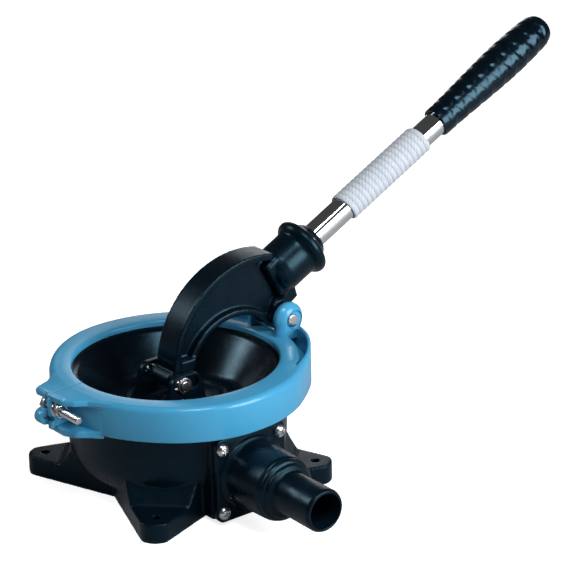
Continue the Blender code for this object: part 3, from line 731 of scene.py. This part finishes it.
# ---------------------------------------------------------------------------------------------
# Diaphragm, plates and clevis
# ---------------------------------------------------------------------------------------------

def diaphragm():
    """The rubber bowl between the clamped rim and the plates."""
    top = catmull([(35.5, 47.7), (38.6, 48.2), (41.2, 50.0), (43.4, 52.6), (49.7, 60.1),
                   (56.0, 67.6), (58.4, 70.4), (61.2, 71.9), (64.0, 72.0)])
    bottom = catmull([(62.5, 67.9), (60.6, 67.9), (59.2, 67.1), (57.4, 65.3), (51.3, 57.9),
                      (45.2, 50.4), (43.0, 48.0), (39.9, 46.0), (36.2, 45.5)])
    profile = [(4.3, 47.7)] + top + [(71.1, 72.0, 0.4), (71.1, 67.9, 0.4)] + bottom
    profile += [(4.3, 45.5)]
    bowl = turned("diaphragm_bowl", profile, 128)
    finished(bowl, "black_rubber", None, "diaphragm", angle=50)
    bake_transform(bowl)


def top_plate():
    """The turned plate and its two lugs, whose slots hold the clevis pin."""
    rim, top = PLATE_RADIUS, 52.0
    section = [(PIN_RADIUS + GAP, top - 1.5), (9.5, top - 1.5), (10.2, top - 0.9, 0.4),
               (11.6, top - 0.9, 0.4), (12.3, top - 1.5), (25.8, top - 1.5, 0.6),
               (27.6, top, 1.0), (30.5, top, 1.0), (31.4, top - 0.5, 0.5), (rim, top - 0.6, 1.0),
               (rim, PLATE_BOTTOM, 0.6), (PIN_RADIUS + GAP, PLATE_BOTTOM)]
    plate = turned("top_plate_and_clevis", section, 112)
    x, z = CLEVIS
    slot_left, slot_right = x - 2.6, x + 7.4
    low, high = z - PIN_RADIUS - 0.6, z + PIN_RADIUS + 0.9
    lug = arc(slot_left, z, 5.8, 165, 90, 14) + arc(slot_right, z, 5.8, 90, 12, 14)
    lug += [(slot_right + 9.5, 49), (slot_left - 10.5, 49)]
    middle, half = (low + high) / 2, (high - low) / 2
    slot = arc(slot_left, middle, half, 90, 270, 16) + arc(slot_right, middle, half, 270, 450, 16)
    for side in (-1, 1):
        near, far = sorted((side * 13.8, side * 17.4))
        join(plate, rounded_edges(upright("clevis_lug", [lug, slot], near, far), 0.5, 2))
    finished(plate, "black_plastic", "piston", "diaphragm_top_plate")


def clevis_pin():
    """A pin with a groove and a ring-shaped clip at each end."""
    x, z = CLEVIS
    groove, reach = PIN_RADIUS - 0.3, CLEVIS_REACH
    half = [(0, reach), (PIN_RADIUS, reach, 0.9), (PIN_RADIUS, 19.4), (groove, 19.3),
            (groove, 17.5), (PIN_RADIUS, 17.4)]
    profile = half + [(r, -h, *corner) for r, h, *corner in reversed(half)]
    finished(turned("clevis_pin_grooved", profile, 48, across_lever(x, z)), "stainless", "lever",
             "clevis_pin")
    for name, side in (("clevis_clip_outlet_side", -1), ("clevis_clip_inlet_side", 1)):
        near, far = sorted((side * 17.8, side * 19.0))
        ring = upright(name + "_ring", [circle(x, z, 4.9), circle(x, z, PIN_RADIUS + GAP, 40)],
                       near, far)
        finished(rounded_edges(ring, 0.25, 2), "stainless", "lever", name)


# ---------------------------------------------------------------------------------------------
# Lever and handle
# ---------------------------------------------------------------------------------------------

def handle_place():
    """The handle's frame, with Z running up the tube from the socket's mouth."""
    x, z = SOCKET_AT
    lean = Matrix.Rotation(math.radians(90 - HANDLE_SLOPE), 4, "Y")
    return Matrix.Translation((x * MM, 0, z * MM)) @ lean


def band(centre, inner, outer, start, end, steps):
    """A strip between two arcs about one centre."""
    x, z = centre
    return arc(x, z, outer, start, end, steps) + arc(x, z, inner, end, start, steps)


def lever_arm():
    """The curved arm: a web with a flange round its back and another round its inside."""
    back_in, rim_out = ARM_OUTER_RADIUS - 4.2, ARM_INNER_RADIUS + 4.0
    web = arc(*ARM_OUTER_CENTRE, ARM_OUTER_RADIUS - 2, 182, 68, 44)
    web += [(84, 108), (78, 92), (68, 88)]
    web += arc(*ARM_INNER_CENTRE, ARM_INNER_RADIUS + 1, 42, 166, 40)
    arm = upright("lever_arm", [web], -2.6, 2.6)
    back = band(ARM_OUTER_CENTRE, back_in, ARM_OUTER_RADIUS, 184, 77, 48)
    rim = band(ARM_INNER_CENTRE, ARM_INNER_RADIUS, rim_out, 168, 42, 44)
    x, z = CLEVIS
    shank = [(9.6, 76), (-6.9, 76), (-7.4, 70), (-9.4, z + 5.5)]
    shank += arc(x, z, 5.6, 125, 300, 24) + [(3.0, 62), (6.8, 66)]
    return join(arm, upright("arm_back", [back], -9.5, 9.5), upright("arm_rim", [rim], -7.2, 7.2),
                upright("arm_end", [shank], -8.6, 8.6))


def fulcrum_leg():
    """The hub on the fulcrum pin and the leg that joins it to the arm."""
    x, z = PIVOT
    leg = [(66.5, 84), (68.5, 92), (72.5, 98), (71, 108), (66, 118), (80, 124), (96, 114),
           (86.8, 100.9), (88.5, 94.4), (83.0, 90.9), (82.5, 84)]
    return rod("hub", (x, -10.4, z), (x, 10.4, z), 8.4, 64), upright("leg", [leg], -5.5, 5.5)


def socket_flare():
    """The cheeks that widen from the leg to the socket, rounded towards both sides."""
    widths = ((2.0, 0.0), (5.5, 0.1), (7.5, 0.8), (8.6, 1.8), (9.2, 3.0))
    flare = [(61.5, 119.5), (63.2, 116.2), (67.1, 108.9), (70.4, 102.7), (72, 97.7),
             (78.2, 95.8), (79.6, 101), (83.9, 102.7), (90, 108), (84, 122), (70, 126)]
    outline = soften([(*p, 2.5) for p in flare], steps=3)
    middle = Vector((75.5, 112.0))
    sections = []
    for half, inset in [(-w, i) for w, i in reversed(widths)] + list(widths):
        row = []
        for point in outline:
            inward = middle - Vector(point)
            spot = Vector(point) + inward.normalized() * min(inset, inward.length * 0.5)
            row.append((spot.x, half, spot.y))
        sections.append(row)
    return loft("socket_flare", sections)


def handle_socket():
    """The turned socket with a rolled lip at its mouth."""
    outside = [(0, 8.6), (9.6, 8.6, 0.6), (10.9, 7.4, 1.0), (12.6, 5.0), (14.2, 3.6, 1.5),
               (17.0, 2.4, 1.2), (18.3, 1.2, 1.0), (18.7, -0.6, 1.5), (18.5, -2.2, 1.5),
               (17.2, -4.0, 1.2), (15.4, -5.4, 1.2), (15.1, -8), (15.1, -21), (14.0, -25.5, 5),
               (11.5, -29, 5), (7.5, -31, 5), (0, -31.5)]
    return turned("socket", outside, 96, handle_place())


def pump_lever():
    """Arm, leg and socket in one moulding, with its three bores."""
    lever = lever_arm()
    join(lever, *fulcrum_leg(), socket_flare(), handle_socket())
    moulded(lever, 0.62, 6)
    x, z = PIVOT
    clevis_x, clevis_z = CLEVIS
    cut(lever, rod("socket_bore", (0, 0, TUBE_START - 0.5), (0, 0, 12), TUBE_RADIUS + GAP, 64,
                   handle_place()),
        rod("hub_bore", (x, -20, z), (x, 20, z), 5.3, 48),
        rod("clevis_bore", (clevis_x, -20, clevis_z), (clevis_x, 20, clevis_z),
            PIN_RADIUS + GAP, 48))
    finished(lever, "black_plastic", "lever", "pump_lever")


def fulcrum_pin():
    """A headed pin through the ring's lugs, and the clip on its far end."""
    x, z = PIVOT
    profile = [(0, 18.6), (4.0, 18.6, 0.7), (4.0, 16.8, 0.3), (PIN_RADIUS, 16.8),
               (PIN_RADIUS, -18.6, 0.6), (0, -18.6)]
    finished(turned("fulcrum_pin_headed", profile, 48, across_lever(x, z)), "stainless", "root",
             "fulcrum_pin")
    rings = [circle(x, z, 4.1), circle(x, z, PIN_RADIUS + GAP, 40)]
    clip = rounded_edges(upright("fulcrum_clip_ring", rings, 16.7, 17.9), 0.2, 2)
    finished(clip, "stainless", "root", "fulcrum_clip")


def winding():
    """The lanyard: one soft cord, pressed flat and wound round the tube in close turns."""
    half_thick, half_wide, outer = 0.86, 2.04, 9.6
    turns, steps, sides = 18, 72, 20
    strands_round, strands_per_turn, tail = 4.0, 14.0, 0.12
    start, end = WINDING[0] + half_wide, WINDING[1] - half_wide
    count = turns * steps
    work = bmesh.new()
    uv_layer = work.loops.layers.uv.new("UVMap")
    rows = []
    for i in range(count + 1):
        angle = 2 * math.pi * i / steps
        taper = 0.35 + 0.65 * smoothstep(min(i, count - i) / (tail * steps))
        height = start + (end - start) * i / count
        row = []
        for k in range(sides):
            around = 2 * math.pi * k / sides
            out = outer - half_thick * (2 - taper) + half_thick * taper * math.cos(around)
            along = height + half_wide * taper * math.sin(around)
            spot = Vector((out * math.cos(angle), out * math.sin(angle), along))
            row.append(work.verts.new(spot * MM))
        rows.append(row)
    for i in range(count):
        for k in range(sides):
            j = (k + 1) % sides
            face = work.faces.new((rows[i][k], rows[i][j], rows[i + 1][j], rows[i + 1][k]))
            for loop, (u, v) in zip(face.loops, ((k, i), (k + 1, i), (k + 1, i + 1), (k, i + 1))):
                loop[uv_layer].uv = (u / sides * strands_round, v / steps * strands_per_turn)
    work.faces.new(reversed(rows[0]))
    work.faces.new(rows[-1])
    cord = from_bmesh("lanyard_cord", work, handle_place())
    finished(cord, "white_cord", "handle", "lanyard_winding", angle=60)


def handle_tube():
    """The polished tube, from inside the socket to inside the grip."""
    bore, end = TUBE_RADIUS - 1.3, GRIP[1] - 8
    tube = [(TUBE_RADIUS, end, 0.3), (TUBE_RADIUS, TUBE_START, 0.5), (bore, TUBE_START, 0.4),
            (bore, end, 0.3)]
    finished(turned("handle_tube_polished", tube, 96, handle_place()), "polished_tube", "handle",
             "handle_tube")


def handle_grip():
    """A soft sleeve with a round end, its skin crossed by two families of helical ridges."""
    sides, ridges, lead, relief = 96, 3, 10.9, 0.42
    length = GRIP[1] - GRIP[0]
    shape = [(0.0, 9.7), (0.03, 9.9), (0.14, 10.2), (0.32, 11.1), (0.52, 12.0), (0.66, 12.2),
             (0.80, 11.8), (0.90, 11.1), (0.94, 10.2), (0.972, 8.2), (0.99, 5.2), (0.998, 2.4)]
    bore = TUBE_RADIUS + GAP
    sections = [[(*point, height) for point in circle(0, 0, bore, sides)]
                for height in (GRIP[1] - 7.5, GRIP[0])]
    for share, radius in catmull(shape, 18):
        height = GRIP[0] + share * length
        fade = smoothstep((share - 0.02) / 0.05) * smoothstep((0.965 - share) / 0.05)
        row = []
        for k in range(sides):
            around = 2 * math.pi * k / sides
            climb = 2 * math.pi * (height - GRIP[0]) / lead
            wave = max(math.cos(ridges * around - climb), math.cos(ridges * around + climb))
            out = radius - relief * fade * (1 - smoothstep((wave + 0.4) / 1.4))
            row.append((out * math.cos(around), out * math.sin(around), height))
        sections.append(row)
    finished(loft("handle_grip_ridged", sections, handle_place()), "grip_vinyl", "handle",
             "handle_grip", angle=55)


# ---------------------------------------------------------------------------------------------
# Ports and screws
# ---------------------------------------------------------------------------------------------

def port(name, node, place, outside, bore):
    """A port: a rounded flange with four screw holes and a turned, hollow spout."""
    outline = rounded_rectangle(FLANGE_HALF, FLANGE_HALF_HEIGHT, 4.5)
    flange = rounded_edges(slab(name, [outline], 0, PORT_FLANGE, place), 0.7)
    join(flange, turned(name + "_spout", outside, 112, place))
    cut(flange, turned(name + "_bore", bore, 96, place))
    for across, up in screw_places():
        cut(flange, rod("flange_hole", (across, up, -3), (across, up, 9), SCREW_HOLE_RADIUS, 24,
                        place))
    finished(flange, "black_plastic", "root", node)


def outlet_port():
    """A barrel that steps down to a tail for two sizes of hose."""
    reach = OUTLET_REACH - PORT_FACE
    outside = [(0, reach), (12.0, reach, 1.0), (12.8, reach - 2.0, 1.5), (12.7, 60), (12.5, 41.6),
               (13.2, 40.2, 0.8), (15.5, 39.6, 0.5), (16.2, 38.8, 0.5), (16.3, 37.4, 0.4),
               (17.7, 36.9, 0.5), (18.5, 35.9, 0.5), (18.6, 34.6, 0.4), (19.2, 33.9, 0.5),
               (19.5, 32.4, 0.8), (20.2, 8.6, 1.5), (20.8, 6.9, 1.0), (22.2, 5.9, 0.8),
               (22.9, 4.9, 0.5), (22.9, 0.5), (0, 0.5)]
    bore = [(0, reach + 2), (10.6, reach + 2), (10.6, reach - 0.3), (10.1, reach - 1.2),
            (10.1, 42), (PORT_BORE - 0.6, 33), (PORT_BORE, 30), (PORT_BORE, -1), (0, -1)]
    port("outlet_spout", "outlet_port", port_place(-1), outside, bore)


def inlet_port():
    """A short straight spout."""
    reach = INLET_REACH - PORT_FACE
    outside = [(0, reach), (18.4, reach, 0.8), (19.2, reach - 1.4, 0.8), (19.3, 16),
               (19.8, 8.6, 1.5), (20.9, 6.9, 1.0), (22.2, 5.9, 0.8), (22.9, 4.9, 0.5),
               (22.9, 0.5), (0, 0.5)]
    bore = [(0, reach + 1), (16.2, reach + 1), (16.2, 12), (PORT_BORE, 10), (PORT_BORE, -1),
            (0, -1)]
    port("inlet_spout", "inlet_port", port_place(1), outside, bore)


def port_screws():
    """Pan-head screws with a cross recess."""
    base = PORT_FLANGE + GAP
    head = [(0, base + 2.6), (1.6, base + 2.5), (2.9, base + 2.0), (3.7, base + 1.1),
            (4.0, base + 0.3, 0.2), (4.0, base), (2.0, base), (2.0, -8), (0, -8)]
    corners = (("low_left", -1, -1), ("low_right", 1, -1), ("top_left", -1, 1),
               ("top_right", 1, 1))
    for side_name, side in (("outlet", -1), ("inlet", 1)):
        for i, (corner, across, up) in enumerate(corners):
            shift = Matrix.Translation((across * SCREW_ACROSS * MM, up * SCREW_UP * MM, 0))
            turn = Matrix.Rotation(math.radians(17 + 41 * i), 4, "Z")
            place = port_place(side) @ shift @ turn
            node = side_name + "_screw_" + corner
            screw = turned(node + "_cross", head, 40, place)
            for wide, long in ((0.45, 2.0), (2.0, 0.45)):
                cut(screw, box("recess", (-wide, -long, base + 1.2), (wide, long, base + 4),
                               place))
            finished(screw, "stainless", "root", node)


# ---------------------------------------------------------------------------------------------
# Build, camera and light
# ---------------------------------------------------------------------------------------------

def carried_over():
    """CAD nodes that stay as they are take their finish from the record's slots."""
    slots = {row["node"]: row["material_slot"] for row in frame["record"]["subparts"]}
    for name, obj in frame["nodes"].items():
        if obj.hide_render:
            continue
        obj.data.materials.clear()
        obj.data.materials.append(MATERIALS[slots[name]])


def camera():
    """The photo's viewpoint, from a camera fitted to the object's known edges."""
    data = bpy.data.cameras.new("camera")
    obj = bpy.data.objects.new("camera", data)
    bpy.context.scene.collection.objects.link(obj)
    right = Vector((0.77762, -0.62855, -0.01519))
    up = Vector((0.23826, 0.27224, 0.93226))
    back = Vector((-0.58184, -0.72857, 0.36146))
    place = Matrix((right, up, back)).transposed().to_4x4()
    place.translation = Vector((-0.71257, -1.03461, 0.59581))
    obj.matrix_world = place
    data.sensor_width = 36.0
    data.lens = 143.54
    data.shift_x = -0.0640
    data.shift_y = 0.0238
    data.clip_end = 50.0
    bpy.context.scene.camera = obj


def softbox(name, position, size_x, size_y, power):
    """A rectangular area light that faces the middle of the object."""
    data = bpy.data.lights.new(name, "AREA")
    data.shape = "RECTANGLE"
    data.size, data.size_y = size_x, size_y
    data.energy = power
    obj = bpy.data.objects.new(name, data)
    bpy.context.scene.collection.objects.link(obj)
    aim = (Vector(position) - LIT_MIDDLE).to_track_quat("Z", "Y")
    obj.matrix_world = Matrix.Translation(position) @ aim.to_matrix().to_4x4()


def camera_only(tree):
    """A factor that is 1 where the camera looks straight at the backdrop."""
    return tree.nodes.new("ShaderNodeLightPath").outputs["Is Camera Ray"]


def ground():
    """A plain pale floor, brighter to the camera than to the object."""
    work = bmesh.new()
    bmesh.ops.create_grid(work, x_segments=1, y_segments=1, size=4.0)
    floor = from_bmesh("floor", work)
    n = Nodes("floor")
    place = n.add("ShaderNodeTexCoord").outputs["Object"]
    pale = n.mix(n.spread(n.noise(3.0, 3.0, place), 0.0, 1.0), (0.80, 0.80, 0.80),
                 (0.82, 0.82, 0.82))
    n.link(n.mix(camera_only(n.tree), (0.42, 0.43, 0.44), pale), n.shader.inputs["Base Color"])
    n.shader.inputs["Roughness"].default_value = 0.9
    n.shader.inputs["Specular IOR Level"].default_value = 0.1
    n.shader.inputs["Emission Color"].default_value = (1.0, 1.0, 1.0, 1.0)
    n.link(n.spread(camera_only(n.tree), 0.0, FLOOR_GLOW, 0.0, 1.0),
           n.shader.inputs["Emission Strength"])
    floor.data.materials.append(n.material)


def backdrop():
    """A white world, which gives the object itself only a little light."""
    world = bpy.data.worlds.new("studio")
    world.use_nodes = True
    tree = world.node_tree
    background = tree.nodes["Background"]
    background.inputs["Color"].default_value = (1.0, 1.0, 1.0, 1.0)
    strength = tree.nodes.new("ShaderNodeMapRange")
    strength.inputs["To Min"].default_value = WORLD_LIGHT
    tree.links.new(camera_only(tree), strength.inputs["Value"])
    tree.links.new(strength.outputs["Result"], background.inputs["Strength"])
    bpy.context.scene.world = world
    bpy.context.scene.view_settings.view_transform = "Standard"


def lights():
    """A broad main light low in front, a fill above, and three that draw the highlights."""
    softbox("front", (0.60, -1.40, 0.62), 0.95, 0.95, 31.0)
    softbox("top", (-0.30, -0.80, 1.40), 0.50, 0.50, 10.0)
    softbox("back", (-0.85, 0.95, 0.95), 0.30, 0.60, 7.0)
    softbox("sweep", (1.70, 1.60, 0.35), 1.4, 0.5, 4.0)
    softbox("sheen", (1.08, 1.42, 0.76), 0.42, 0.45, 0.7)


camera()
ground()
backdrop()
lights()
pump_body()
clamp_ring()
clamp_fasteners()
diaphragm()
top_plate()
clevis_pin()
pump_lever()
fulcrum_pin()
handle_tube()
handle_grip()
winding()
outlet_port()
inlet_port()
port_screws()
carried_over()
